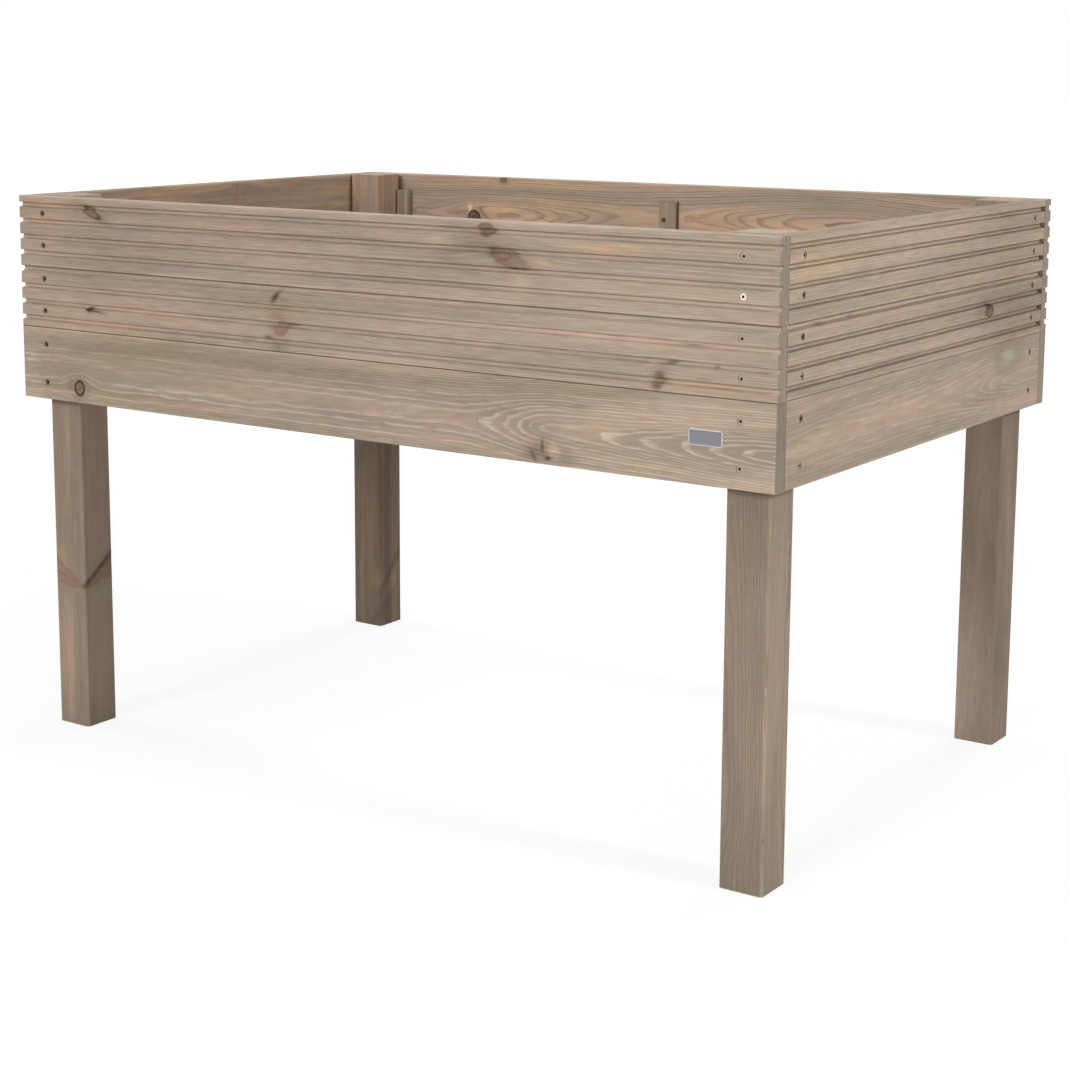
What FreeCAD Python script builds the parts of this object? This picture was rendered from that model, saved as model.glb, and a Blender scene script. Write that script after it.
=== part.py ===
import FreeCAD, Part
import math
import os

# Raised garden bed: a planed timber box, three boards high, on four square legs.
# Millimetres. X runs along the bed, Y from front to back, Z up.
# The origin is on the ground under the middle of the bed.

# Overall size, over the wall boards
length = 1200.0
depth = 800.0
height = 770.0

# Legs
leg_width = 58.0
leg_edge_round = 5.0

# Wall boards and the grooves along the upper two
board_thick = 20.0
board_edge_round = 1.2
rim_land = 9.0
land_height = 15.0
groove_height = 7.4
groove_floor = 5.8
groove_depth = 6.2
top_board_grooves = 4
middle_board_grooves = 3
rebate_height = 9.3
rebate_floor = 5.8
lower_board_height = 102.0

# Upright cleats and battens on the inside of the front and back walls
cleat_thick = 8.0
cleat_width = 31.0
batten_width = 20.0
batten_depth = 17.0
upright_drop = 26.0
batten_leg_gap = 1.0
upright_floor_gap = 2.0
upright_edge_round = 1.0

# Floor: ledgers along the walls, slats across the bed
ledger_width = 22.0
ledger_height = 38.0
ledger_lift = 8.0
ledger_leg_gap = 1.0
ledger_edge_round = 1.5
slat_width = 96.0
slat_thick = 16.0
slat_wall_gap = 3.0
slat_leg_gap = 2.0
slat_edge_round = 2.0
drain_gap = 8.0

# Countersunk screws
screw_head_radius = 4.2
screw_head_height = 2.6
screw_shank_radius = 2.2
screw_tip = 6.0
screw_sink = 0.8
screw_clearance = 0.2
star_outer_radius = 2.1
star_inner_radius = 1.5
star_depth = 2.0
star_lobes = 6
long_wall_column_shift = 3.0
lower_board_screw_edge = 24.0
front_tip_to_side_screw = 4.5
side_screw_bite = 25.0
inside_tip_cover = 2.8
slat_screw_bite = 24.0
cleat_screw_drop = 29.0
cleat_screw_shift = 6.0
batten_screw_drop = 58.0
long_ledger_spans = 3

# Blank plate on the lower front board
plate_width = 44.0
plate_height = 19.0
plate_thick = 1.0
plate_corner_radius = 3.0
plate_from_end = 89.5
plate_above_edge = 55.0

# Heights and places worked out from the sizes above
groove_pitch = groove_height + land_height
top_board_height = rim_land + top_board_grooves * groove_pitch
middle_board_height = rebate_height + middle_board_grooves * groove_pitch + rim_land
wall_height = top_board_height + middle_board_height + lower_board_height
wall_bottom = height - wall_height
middle_top = height - top_board_height
lower_top = middle_top - middle_board_height
ledger_bottom = wall_bottom + ledger_lift
ledger_top = ledger_bottom + ledger_height
floor_top = ledger_top + slat_thick
upright_top = height - upright_drop
upright_bottom = floor_top + upright_floor_gap
wall_screw_step = 2 * groove_pitch
inside_screw_bite = board_thick - groove_depth - inside_tip_cover
leg_x = length / 2 - board_thick - leg_width / 2
leg_y = depth / 2 - board_thick - cleat_thick - leg_width / 2
leg_inner_x = leg_x - leg_width / 2
leg_inner_y = leg_y - leg_width / 2

# Each wall is drawn as the front wall is, then turned about Z: span, distance out, turn
walls = {
    "front": (length, depth / 2, 0),
    "right": (depth - 2 * board_thick, length / 2, 90),
    "back": (length, depth / 2, 180),
    "left": (depth - 2 * board_thick, length / 2, 270),
}
long_walls = ("front", "back")
side_walls = ("left", "right")
board_levels = ("top", "middle", "lower")

origin = FreeCAD.Vector(0, 0, 0)
up = FreeCAD.Vector(0, 0, 1)
inward = FreeCAD.Vector(0, 1, 0)
outward = FreeCAD.Vector(0, -1, 0)
same_place = 1e-6
parts = {}


def turned(shape, degrees):
    """A copy of a shape turned about the bed's upright axis."""
    copy = shape.copy()
    copy.rotate(origin, up, degrees)
    return copy


def box(low, high):
    """A box between two opposite corners."""
    size = [b - a for a, b in zip(low, high)]
    return Part.makeBox(size[0], size[1], size[2], FreeCAD.Vector(*low))


def along(edge, axis):
    """Whether a straight edge runs along one of the three axes."""
    step = edge.Vertexes[-1].Point - edge.Vertexes[0].Point
    return abs(abs(step[axis]) - step.Length) < same_place


def rounded_box(low, high, radius, axis):
    """A box with the four edges along one axis rounded."""
    solid = box(low, high)
    return solid.makeFillet(radius, [edge for edge in solid.Edges if along(edge, axis)])


def lathed(points):
    """A solid of revolution about Z from points of radius and height."""
    wire = Part.makePolygon([FreeCAD.Vector(r, 0, z) for r, z in points + points[:1]])
    return Part.Face(wire).revolve(origin, up, 360)


def screw_body(total):
    """One countersunk screw with a star socket, its head at the origin and its tip up Z."""
    body = lathed([
        (0, 0), (screw_head_radius, 0), (screw_shank_radius, screw_head_height),
        (screw_shank_radius, total - screw_tip), (0, total)])
    star = []
    for step in range(2 * star_lobes + 1):
        radius = star_inner_radius if step % 2 else star_outer_radius
        angle = math.pi * step / star_lobes
        star.append(FreeCAD.Vector(radius * math.cos(angle), radius * math.sin(angle), 0))
    socket = Part.Face(Part.makePolygon(star)).extrude(up * star_depth)
    return body.cut(socket)


def screw_hole(total):
    """The hole for such a screw, open above its head."""
    head = screw_head_radius + screw_clearance
    shank = screw_shank_radius + screw_clearance
    mouth = -2 * screw_sink
    end = total + screw_clearance
    return lathed([
        (0, mouth), (head, mouth), (head, 0), (shank, screw_head_height), (shank, end), (0, end)])


def set_along(shape, place, direction):
    """A copy of a shape drawn up Z, moved to a place and turned to a direction."""
    copy = shape.copy()
    copy.Placement = FreeCAD.Placement(FreeCAD.Vector(*place), FreeCAD.Rotation(up, direction))
    return copy


def drive(total, places, direction, turn=0):
    """Screws at the places of their heads, with the holes that they need."""
    body = screw_body(total)
    hole = screw_hole(total)
    screws = [turned(set_along(body, place, direction), turn) for place in places]
    holes = [turned(set_along(hole, place, direction), turn) for place in places]
    return screws, holes


def drill(names, holes):
    """Cut the holes out of the named pieces."""
    for name in names:
        parts[name] = parts[name].cut(holes)


def groove(z):
    """Corners of one groove below its square upper edge, on the outer face."""
    return [(0, z), (groove_depth, z), (groove_depth, z - groove_floor), (0, z - groove_height)]


def top_board_outline():
    """Section of the top board: distance in from the outer face, and height."""
    points = [(0, height)]
    for step in range(top_board_grooves):
        points += groove(height - rim_land - step * groove_pitch)
    return points + [(0, middle_top), (board_thick, middle_top), (board_thick, height)]


def middle_board_outline():
    """Section of the middle board, rebated under the lip of the top board."""
    face_top = middle_top - rebate_height
    points = [(groove_depth, middle_top), (groove_depth, middle_top - rebate_floor), (0, face_top)]
    for step in range(middle_board_grooves):
        points += groove(face_top - land_height - step * groove_pitch)
    return points + [(0, lower_top), (board_thick, lower_top), (board_thick, middle_top)]


def lower_board_outline():
    """Section of the plain lower board."""
    return [(0, lower_top), (0, wall_bottom), (board_thick, wall_bottom), (board_thick, lower_top)]


def board(outline, span, out):
    """A board of one section along the front wall, its arrises rounded."""
    wire = [FreeCAD.Vector(-span / 2, u - out, z) for u, z in outline + outline[:1]]
    solid = Part.Face(Part.makePolygon(wire)).extrude(FreeCAD.Vector(span, 0, 0))
    top = max(z for u, z in outline)
    bottom = min(z for u, z in outline)
    corners = [(u, z) for u, z in outline if u in (0, board_thick) and z in (top, bottom)]

    def is_arris(edge):
        at = edge.Vertexes[0].Point
        return along(edge, 0) and any(
            math.hypot(at.y + out - u, at.z - z) < same_place for u, z in corners)

    return solid.makeFillet(board_edge_round, [edge for edge in solid.Edges if is_arris(edge)])


def wall_screw_rows():
    """Heights of the wall screws: two on each board, on lands of the grooved ones."""
    first_top = height - rim_land - groove_height - land_height / 2
    first_middle = middle_top - rebate_height - land_height / 2
    return [
        first_top, first_top - wall_screw_step,
        first_middle, first_middle - wall_screw_step,
        lower_top - lower_board_screw_edge, wall_bottom + lower_board_screw_edge]


def make_legs():
    """Four legs, one in each inside corner."""
    half = leg_width / 2
    for row, y in (("front", -leg_y), ("back", leg_y)):
        for side, x in (("left", -leg_x), ("right", leg_x)):
            parts[f"{row}_{side}_leg"] = rounded_box(
                (x - half, y - half, 0), (x + half, y + half, height), leg_edge_round, 2)


def make_boards():
    """Three boards on each wall."""
    outlines = (top_board_outline(), middle_board_outline(), lower_board_outline())
    for wall, (span, out, turn) in walls.items():
        for level, outline in zip(board_levels, outlines):
            parts[f"{wall}_{level}_board"] = turned(board(outline, span, out), turn)


def upright(x, width, thick, bottom, wall):
    """A cleat or batten standing against the inside of a long wall."""
    _, out, turn = walls[wall]
    face = board_thick - out
    return turned(rounded_box(
        (x - width / 2, face, bottom), (x + width / 2, face + thick, upright_top),
        upright_edge_round, 2), turn)


def side_name(x, wall):
    """Left or right as seen from the front, for a place along a wall drawn as the front one."""
    return "left" if (x < 0) == (wall == "front") else "right"


def make_uprights():
    """Cleats behind the legs and at mid wall, and a batten beside each leg."""
    batten_x = leg_inner_x - batten_leg_gap - batten_width / 2
    for wall in long_walls:
        parts[f"{wall}_middle_cleat"] = upright(0, cleat_width, cleat_thick, upright_bottom, wall)
        for sign in (-1, 1):
            side = side_name(sign, wall)
            parts[f"{wall}_{side}_cleat"] = upright(
                sign * leg_x, cleat_width, cleat_thick, ledger_bottom, wall)
            parts[f"{wall}_{side}_batten"] = upright(
                sign * batten_x, batten_width, batten_depth, upright_bottom, wall)


def make_ledgers():
    """A ledger along the foot of each wall, between the legs."""
    for wall, (_, out, turn) in walls.items():
        half = (leg_inner_x if wall in long_walls else leg_inner_y) - ledger_leg_gap
        face = board_thick - out
        parts[f"{wall}_ledger"] = turned(rounded_box(
            (-half, face, ledger_bottom), (half, face + ledger_width, ledger_top),
            ledger_edge_round, 0), turn)


def slat_layout():
    """Number of slats, their pitch and the middle of the first one."""
    reach = length / 2 - board_thick - slat_wall_gap
    count = int((2 * reach + drain_gap) / (slat_width + drain_gap))
    pitch = (2 * reach - slat_width) / (count - 1)
    return count, pitch, slat_width / 2 - reach


def make_slats():
    """Floor slats across the bed, the end ones notched round the legs."""
    count, pitch, first = slat_layout()
    half_length = depth / 2 - board_thick - slat_wall_gap
    corner_x = leg_inner_x - slat_leg_gap
    corner_y = leg_inner_y - slat_leg_gap
    notches = []
    for x in (-length / 2, corner_x):
        for y in (-depth / 2, corner_y):
            notches.append(box(
                (x, y, ledger_top), (x + length / 2 - corner_x, y + depth / 2 - corner_y, floor_top)))
    for step in range(count):
        middle = first + step * pitch
        slat = rounded_box(
            (middle - slat_width / 2, -half_length, ledger_top),
            (middle + slat_width / 2, half_length, floor_top), slat_edge_round, 1)
        ends = step in (0, count - 1)
        parts[f"floor_slat_{step + 1:02d}"] = slat.cut(notches) if ends else slat


def make_wall_screws():
    """Two screws through each board end into the leg behind it."""
    rows = wall_screw_rows()
    long_total = board_thick - screw_sink + cleat_thick + leg_width / 2
    long_total -= screw_shank_radius + front_tip_to_side_screw
    side_total = board_thick - screw_sink + side_screw_bite
    for wall, (_, out, turn) in walls.items():
        is_long = wall in long_walls
        column = leg_x + long_wall_column_shift if is_long else leg_y
        total = long_total if is_long else side_total
        places = [(x, screw_sink - out, z) for x in (-column, column) for z in rows]
        screws, holes = drive(total, places, inward, turn)
        parts[f"{wall}_wall_screws"] = Part.makeCompound(screws)
        drill([f"{wall}_{level}_board" for level in board_levels], holes)
        if is_long:
            drill([f"{wall}_{side}_cleat" for side in side_walls], holes)
            drill([f"{wall}_{side}_leg" for side in side_walls], holes)
        else:
            drill([f"{row}_{wall}_leg" for row in long_walls], holes)


def upright_screw_rows(drop):
    """Heights of the screws through a cleat or batten, one for each board, the first by its drop."""
    middle_row = middle_top - middle_board_height / 2
    lower_row = (lower_top + upright_bottom) / 2
    return [upright_top - drop, middle_row, lower_row]


def make_upright_screws():
    """Screws from inside through the middle cleats and the battens into the boards."""
    batten_x = leg_inner_x - batten_leg_gap - batten_width / 2
    groups = {
        "cleat": (cleat_thick, cleat_screw_drop, (cleat_screw_shift,)),
        "batten": (batten_depth, batten_screw_drop, (-batten_x, batten_x))}
    for kind, (thick, drop, columns) in groups.items():
        all_screws = []
        for wall in long_walls:
            _, out, turn = walls[wall]
            head = board_thick + thick - screw_sink - out
            places = [(x, head, z) for x in columns for z in upright_screw_rows(drop)]
            screws, holes = drive(thick - screw_sink + inside_screw_bite, places, outward, turn)
            all_screws += screws
            names = [f"{wall}_{level}_board" for level in board_levels]
            if kind == "cleat":
                names.append(f"{wall}_middle_cleat")
            else:
                names += [f"{wall}_{side_name(x, wall)}_batten" for x in columns]
            drill(names, holes)
        parts[f"{kind}_screws"] = Part.makeCompound(all_screws)


def make_ledger_screws():
    """Screws from inside through the ledgers, between the slats, into the lower boards."""
    count, pitch, first = slat_layout()
    near_end = -(first + pitch / 2)
    gaps_between = count // long_ledger_spans
    near_middle = near_end - pitch * gaps_between
    long_columns = (-near_end, -near_middle, near_middle, near_end)
    side_columns = (-leg_inner_y / 2, leg_inner_y / 2)
    all_screws = []
    for wall, (_, out, turn) in walls.items():
        columns = long_columns if wall in long_walls else side_columns
        head = board_thick + ledger_width - screw_sink - out
        places = [(x, head, ledger_bottom + ledger_height / 2) for x in columns]
        screws, holes = drive(ledger_width - screw_sink + inside_screw_bite, places, outward, turn)
        all_screws += screws
        drill([f"{wall}_ledger", f"{wall}_lower_board"], holes)
    parts["ledger_screws"] = Part.makeCompound(all_screws)


def make_slat_screws():
    """A screw down each slat end into the ledgers, and one more into each side ledger."""
    count, pitch, first = slat_layout()
    end_row = depth / 2 - board_thick - ledger_width / 2
    side_row = length / 2 - board_thick - ledger_width / 2
    middles = [first + step * pitch for step in range(count)]
    tongue = (leg_inner_x - slat_leg_gap + middles[-1] - slat_width / 2) / 2
    columns = [-tongue] + middles[1:-1] + [tongue]
    head = floor_top - screw_sink
    places = [(x, y, head) for x in columns for y in (-end_row, end_row)]
    places += [(-side_row, 0, head), (side_row, 0, head)]
    screws, holes = drive(slat_thick - screw_sink + slat_screw_bite, places, -up)
    drill([f"floor_slat_{step + 1:02d}" for step in range(count)], holes)
    drill([f"{wall}_ledger" for wall in walls], holes)
    parts["slat_screws"] = Part.makeCompound(screws)


def make_plate():
    """A thin blank plate on the face of the lower front board, near its right end."""
    x = length / 2 - plate_from_end
    z = wall_bottom + plate_above_edge
    parts["blank_plate"] = rounded_box(
        (x - plate_width / 2, -depth / 2 - plate_thick, z - plate_height / 2),
        (x + plate_width / 2, -depth / 2, z + plate_height / 2), plate_corner_radius, 1)


make_legs()
make_boards()
make_uprights()
make_ledgers()
make_slats()
make_wall_screws()
make_upright_screws()
make_ledger_screws()
make_slat_screws()
make_plate()

os.makedirs("parts", exist_ok=True)
for name, shape in parts.items():
    shape.exportStep(f"parts/{name}.step")
print(len(parts), "nodes,", sum(len(shape.Solids) for shape in parts.values()), "solids")
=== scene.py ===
"""The looks of a raised garden bed: stained pine on every timber, zinc screws, a blank metal plate,
a pale floor, soft light and the camera. Lengths are in metres, angles in degrees."""

import math
import random
from collections import namedtuple
from dataclasses import dataclass, field

import bmesh
import bpy
from mathutils import Matrix, Vector


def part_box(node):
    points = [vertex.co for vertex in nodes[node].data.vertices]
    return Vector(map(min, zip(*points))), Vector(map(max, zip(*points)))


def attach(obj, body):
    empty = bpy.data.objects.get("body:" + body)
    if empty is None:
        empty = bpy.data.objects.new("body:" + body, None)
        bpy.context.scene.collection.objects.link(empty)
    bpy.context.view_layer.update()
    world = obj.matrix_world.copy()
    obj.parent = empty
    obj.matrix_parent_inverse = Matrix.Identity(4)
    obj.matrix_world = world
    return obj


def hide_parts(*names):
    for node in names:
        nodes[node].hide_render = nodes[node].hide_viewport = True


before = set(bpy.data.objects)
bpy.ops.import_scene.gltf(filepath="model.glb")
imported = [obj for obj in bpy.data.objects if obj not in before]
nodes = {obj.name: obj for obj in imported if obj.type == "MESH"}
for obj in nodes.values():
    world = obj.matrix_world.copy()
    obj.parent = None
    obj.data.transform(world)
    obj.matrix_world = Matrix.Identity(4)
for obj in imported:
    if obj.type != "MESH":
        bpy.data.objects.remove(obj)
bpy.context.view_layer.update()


def srgb(red, green, blue):
    """A colour written as it looks on screen, 0 to 255, as the linear RGBA that shaders take."""
    def linear(level):
        share = level / 255
        return share / 12.92 if share <= 0.04045 else ((share + 0.055) / 1.055) ** 2.4
    return (linear(red), linear(green), linear(blue), 1.0)


STAIN_GREY = srgb(157, 142, 126)
STAIN_ROSE = srgb(173, 153, 137)
STAIN_PEACH = srgb(191, 160, 132)
STAIN_OLIVE = srgb(150, 135, 114)
STAIN_MOSS = srgb(168, 161, 142)
LINE_PALE = srgb(208, 195, 177)
LINE_DARK = srgb(112, 93, 77)
KNOT_HEART = srgb(108, 90, 75)
KNOT_RUST = srgb(143, 108, 88)
KNOT_BARK = srgb(70, 57, 45)
# Dirt in the joints between boards, and painted shade on the ledges in the grooves
SEAM_DIRT_AND_SHADE = srgb(74, 60, 48)
END_GRAIN = srgb(140, 130, 116)
# Pale wear on long edges, and a painted highlight along the rims
RUBBED_EDGE_AND_HIGHLIGHT = srgb(197, 181, 160)
# A painted glint on one screw
ZINC_PAINTED_GLINT = srgb(228, 220, 206)
ZINC = srgb(168, 151, 131)
ZINC_DULL = srgb(112, 97, 80)
# Painted shade in the screw sockets
SOCKET_SHADE = srgb(68, 57, 46)
ALUMINIUM = srgb(143, 141, 146)
ALUMINIUM_DULL = srgb(131, 129, 134)
# A painted highlight round the plate's rim
ALUMINIUM_RIM_HIGHLIGHT = srgb(218, 218, 222)
WHITE = (1.0, 1.0, 1.0, 1.0)


class Graph:
    """Adds shader nodes to one tree. Any input is a number, a colour or another node's socket."""

    def __init__(self, tree):
        self.tree = tree

    def node(self, kind, inputs=(), **settings):
        made = self.tree.nodes.new(kind)
        for name, value in settings.items():
            setattr(made, name, value)
        for key, value in dict(inputs).items():
            self.feed(made.inputs[key], value)
        return made

    def feed(self, socket, value):
        if isinstance(value, bpy.types.NodeSocket):
            self.tree.links.new(value, socket)
        else:
            socket.default_value = value

    def math(self, operation, *values):
        return self.node("ShaderNodeMath", enumerate(values), operation=operation).outputs[0]

    def add(self, a, b):
        return self.math("ADD", a, b)

    def times(self, a, b):
        return self.math("MULTIPLY", a, b)

    def less(self, a, b):
        return self.math("SUBTRACT", a, b)

    def squares(self, a, b):
        """The sum of two squares."""
        return self.add(self.times(a, a), self.times(b, b))

    def bell(self, squares):
        """1 where a squared distance is 0, falling to 0 as it grows."""
        return self.math("EXPONENT", self.times(squares, -1.0))

    def swing(self, value, reach):
        """A noise value, 0 to 1, as plus or minus half of reach."""
        return self.times(self.less(value, 0.5), reach)

    def vector(self, operation, *values):
        return self.node("ShaderNodeVectorMath", enumerate(values), operation=operation).outputs[0]

    def split(self, vector):
        return self.node("ShaderNodeSeparateXYZ", {0: vector}).outputs

    def join(self, x, y, z):
        return self.node("ShaderNodeCombineXYZ", {0: x, 1: y, 2: z}).outputs[0]

    def smooth(self, value, low, high):
        """0 at low, 1 at high, with soft ends; low may be the larger."""
        made = self.node("ShaderNodeMapRange", {"Value": value, "From Min": low, "From Max": high},
                         interpolation_type="SMOOTHSTEP")
        return made.outputs["Result"]

    def mix(self, share, a, b):
        made = self.node("ShaderNodeMix", {0: share, 6: a, 7: b}, data_type="RGBA")
        return made.outputs[2]

    def tint(self, colour, value):
        """A colour made lighter or darker by a factor."""
        made = self.node("ShaderNodeVectorMath", {0: colour, "Scale": value}, operation="SCALE")
        return made.outputs[0]

    def noise_on_line(self, position, detail=1.0):
        """Noise along one line, with one swing per unit."""
        return self.node("ShaderNodeTexNoise", {"W": position, "Scale": 1.0, "Detail": detail},
                         noise_dimensions="1D").outputs["Fac"]

    def noise(self, position, stretch, detail=2.0, roughness=0.5):
        """Noise with that many swings per metre along each axis; its node, for its Fac and Color."""
        scaled = self.vector("MULTIPLY", position, stretch)
        return self.node("ShaderNodeTexNoise",
                         {"Vector": scaled, "Scale": 1.0, "Detail": detail, "Roughness": roughness})


def new_group(name, inputs, outputs):
    """A shader node group with those sockets, and its graph, its inputs by name and its output node."""
    tree = bpy.data.node_groups.new(name, "ShaderNodeTree")
    for side, sockets in (("INPUT", inputs), ("OUTPUT", outputs)):
        for socket, kind in sockets.items():
            tree.interface.new_socket(socket, in_out=side, socket_type="NodeSocket" + kind)
    graph = Graph(tree)
    given = graph.node("NodeGroupInput").outputs
    result = graph.node("NodeGroupOutput").inputs
    return tree, graph, given, result


# A knot: its place and half sizes on the piece, how it leans across and through the piece, how strong,
# how red and how barked it is, and how fast it widens away from the piece's right front edge
Knot = namedtuple(
    "Knot", "along across half_along half_across lean_across lean_through strength rust bark wedge",
    defaults=(0.0, 0.0, 1.0, 0.5, 0.5, 0.0))
# A patch of the stain, and on some pieces of painted light and shade: its place and half sizes, how warm it
# is, or below 0 how soaked (olive, then mossy), how much lighter, how dark its smear is and how it leans
# across and through the piece
Patch = namedtuple(
    "Patch", "along across half_along half_across warmth gain smear lean lean_through",
    defaults=(0.0, 0.0, 0.0, 0.0, 0.0))
# A swell of the log's heart towards the face: its place, half length on each side and height
Swell = namedtuple("Swell", "along half_before half_after reach")
KNOT_MARKS = ("Warped", "Lift", "Core", "Rim", "Halo", "Rusty", "Nearest")
PATCH_TOTALS = {"Patches": "Warmth", "Gains": "Gain", "Smears": "Smear"}


def sockets_of(record):
    """The fields of a knot, patch or swell as the names of group sockets."""
    return {field_name: field_name.replace("_", " ").capitalize() for field_name in record._fields}


def number_sockets(record):
    """The group sockets of a knot, patch or swell; all are numbers."""
    return dict.fromkeys(sockets_of(record).values(), "Float")


# Knots. Distances are shares of the knot's half size; grains are swings of noise for each metre along,
# across and through the piece; a pair is where a soft step starts and ends
RAGGED_GRAIN = (70.0, 170.0, 170.0)
BROKEN_GRAIN = (35.0, 60.0, 60.0)
SLIMMEST = 0.1
BARK_SMOOTHS = 0.75
PART_ALONG = 0.36
PART_ACROSS = 0.5
PART_SHIFT = -0.8
PART_LIFT = 0.45
CORE_STEP = (1.2, 0.7)
RIM_INNER_STEP = (0.6, 0.95)
RIM_OUTER_STEP = (1.35, 1.0)
RIM_WHOLE_STEP = (0.26, 0.48)
BARK_WHOLE = 0.85
CRACK_SLANT = 0.5
CRACK_WOBBLE = 0.9
CRACK_SIDE_STEP = (0.14, 0.03)
CRACK_END_STEP = (0.95, 0.6)
CRACKED_STEP = (0.45, 0.58)
HALO_STEP = (3.0, 0.8)


def build_knot_group():
    """One knot, chained after others: it parts the grain and adds to the marks that colour it."""
    marks = {name: "Vector" if name == "Warped" else "Float" for name in KNOT_MARKS}
    tree, g, given, result = new_group("knot", {"Position": "Vector", **number_sockets(Knot), **marks}, marks)
    along, across, through = g.split(given["Position"])
    strength = given["Strength"]
    off_across = g.less(across, given["Across"])
    lean = g.add(g.times(off_across, given["Lean across"]), g.times(through, given["Lean through"]))
    off_along = g.less(g.less(along, given["Along"]), lean)
    ragged = g.noise(given["Position"], RAGGED_GRAIN, detail=3.0).outputs["Fac"]
    widening = g.add(g.times(g.less(through, across), given["Wedge"]), 1.0)
    half_along = g.times(given["Half along"], g.math("MAXIMUM", widening, SLIMMEST))
    share_along = g.math("DIVIDE", off_along, half_along)
    share_across = g.math("DIVIDE", off_across, given["Half across"])
    squares = g.squares(share_along, share_across)
    raggedness = g.less(1.0, g.times(given["Bark"], BARK_SMOOTHS))
    distance = g.add(g.math("SQRT", squares), g.swing(ragged, raggedness))

    # The grain parts round the knot, further along the piece than across it
    reach = g.squares(g.times(share_along, PART_ALONG), g.times(share_across, PART_ACROSS))
    push = g.times(g.bell(reach), strength)
    shift = g.times(g.times(off_across, push), PART_SHIFT)
    warped = g.vector("ADD", given["Warped"], g.join(0.0, shift, 0.0))
    lift = g.add(given["Lift"], g.times(push, g.times(given["Half along"], PART_LIFT)))

    core = g.times(g.smooth(distance, *CORE_STEP), strength)
    broken = g.noise(given["Position"], BROKEN_GRAIN, detail=1.0).outputs["Fac"]
    rim = g.times(g.smooth(distance, *RIM_INNER_STEP), g.smooth(distance, *RIM_OUTER_STEP))
    crack_line = g.less(share_across, g.times(share_along, CRACK_SLANT))
    crack_off = g.math("ABSOLUTE", g.add(crack_line, g.swing(ragged, CRACK_WOBBLE)))
    crack = g.times(g.smooth(crack_off, *CRACK_SIDE_STEP), g.smooth(distance, *CRACK_END_STEP))
    crack = g.times(crack, g.smooth(broken, *CRACKED_STEP))
    whole = g.math("MAXIMUM", g.smooth(broken, *RIM_WHOLE_STEP), g.times(given["Bark"], BARK_WHOLE))
    rim = g.math("MAXIMUM", g.times(rim, whole), crack)
    rim = g.times(g.times(rim, strength), given["Bark"])
    halo = g.times(g.smooth(distance, *HALO_STEP), strength)
    rusty = g.times(halo, given["Rust"])
    grown = {"Core": core, "Rim": rim, "Halo": halo, "Rusty": rusty}
    for name, value in grown.items():
        g.feed(result[name], g.math("MAXIMUM", value, given[name]))
    g.feed(result["Warped"], warped)
    g.feed(result["Lift"], lift)
    g.feed(result["Nearest"], g.math("MINIMUM", distance, given["Nearest"]))
    return tree


def build_patch_group():
    """One patch of the stain, and on some pieces of painted light and shade, added to the others."""
    totals = dict.fromkeys(PATCH_TOTALS, "Float")
    tree, g, given, result = new_group(
        "patch", {"Position": "Vector", **number_sockets(Patch), **totals}, totals)
    along, across, through = g.split(given["Position"])
    off_across = g.less(across, given["Across"])
    lean = g.add(g.times(off_across, given["Lean"]), g.times(through, given["Lean through"]))
    off_along = g.less(g.less(along, given["Along"]), lean)
    share_along = g.math("DIVIDE", off_along, given["Half along"])
    share_across = g.math("DIVIDE", off_across, given["Half across"])
    height = g.bell(g.squares(share_along, share_across))
    for total, share in PATCH_TOTALS.items():
        g.feed(result[total], g.add(given[total], g.times(height, given[share])))
    return tree


def build_swell_group():
    """One swell of the log's heart, added to the others."""
    rise = {"Rise": "Float"}
    tree, g, given, result = new_group("swell", {"Position": "Vector", **rise, **number_sockets(Swell)}, rise)
    off_along = g.less(g.split(given["Position"])[0], given["Along"])
    after = g.math("GREATER_THAN", off_along, 0.0)
    half = g.add(given["Half before"], g.times(after, g.less(given["Half after"], given["Half before"])))
    share = g.math("DIVIDE", off_along, half)
    height = g.times(g.bell(g.times(share, share)), given["Reach"])
    g.feed(result["Rise"], g.add(given["Rise"], height))
    return tree


# Grains of the pine: swings of noise for each metre along, across and through the piece
BEND_GRAIN = (1.1, 3.0, 3.0)
RIPPLE_GRAIN = (17.0, 45.0, 45.0)
FIBRE_GRAIN = (30.0, 300.0, 300.0)
STREAK_GRAIN = (2.4, 95.0, 8.0)
HUE_GRAIN = (2.6, 22.0, 22.0)
FLECK_GRAIN = (38.0, 700.0, 700.0)
PORE_GRAIN = (500.0, 700.0, 700.0)
TRACK_GRAIN = (60.0, 9.0, 320.0)
WEAR_AND_HIGHLIGHT_GRAIN = (7.0, 30.0, 30.0)
GROWTH_GRAIN = 45.0
BAND_GRAIN = 85.0
# Rings: how far they ripple and how their widths vary, and the harder line at the end of each
RIPPLE_REACH = 0.0036
GROWTH_REACH = 3.0
LINE_START_STEP = (0.45, 0.86)
LINE_END_STEP = (1.0, 0.92)
LINE_FIBRE_STEP = (0.26, 0.52)
LINE_FAINTEST = 0.25
LINE_SPREAD = 0.75
# Stain: where each colour starts, and how much each grain lightens or darkens it
ROSE_STEP = (0.38, 0.62)
OLIVE_STEP = (0.45, 0.7)
SOAK_OLIVE = 0.45
MOSS_STEP = (1.2, 3.0)
PEACH_STREAK = 0.45
PEACH_BAND = 0.35
PEACH_HUE = 0.2
PEACH_STEP = (0.47, 0.61)
GLOW_STEP = (0.36, 0.54)
SOAK_PLAIN = 0.65
SOAK_SHADE = 0.12
FIBRE_SHADE = 0.5
STREAK_SHADE = 0.2
BAND_SHADE = 0.1
FLECK_STEP = (0.74, 0.82)
FLECK_SHARE = 0.45
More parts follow.
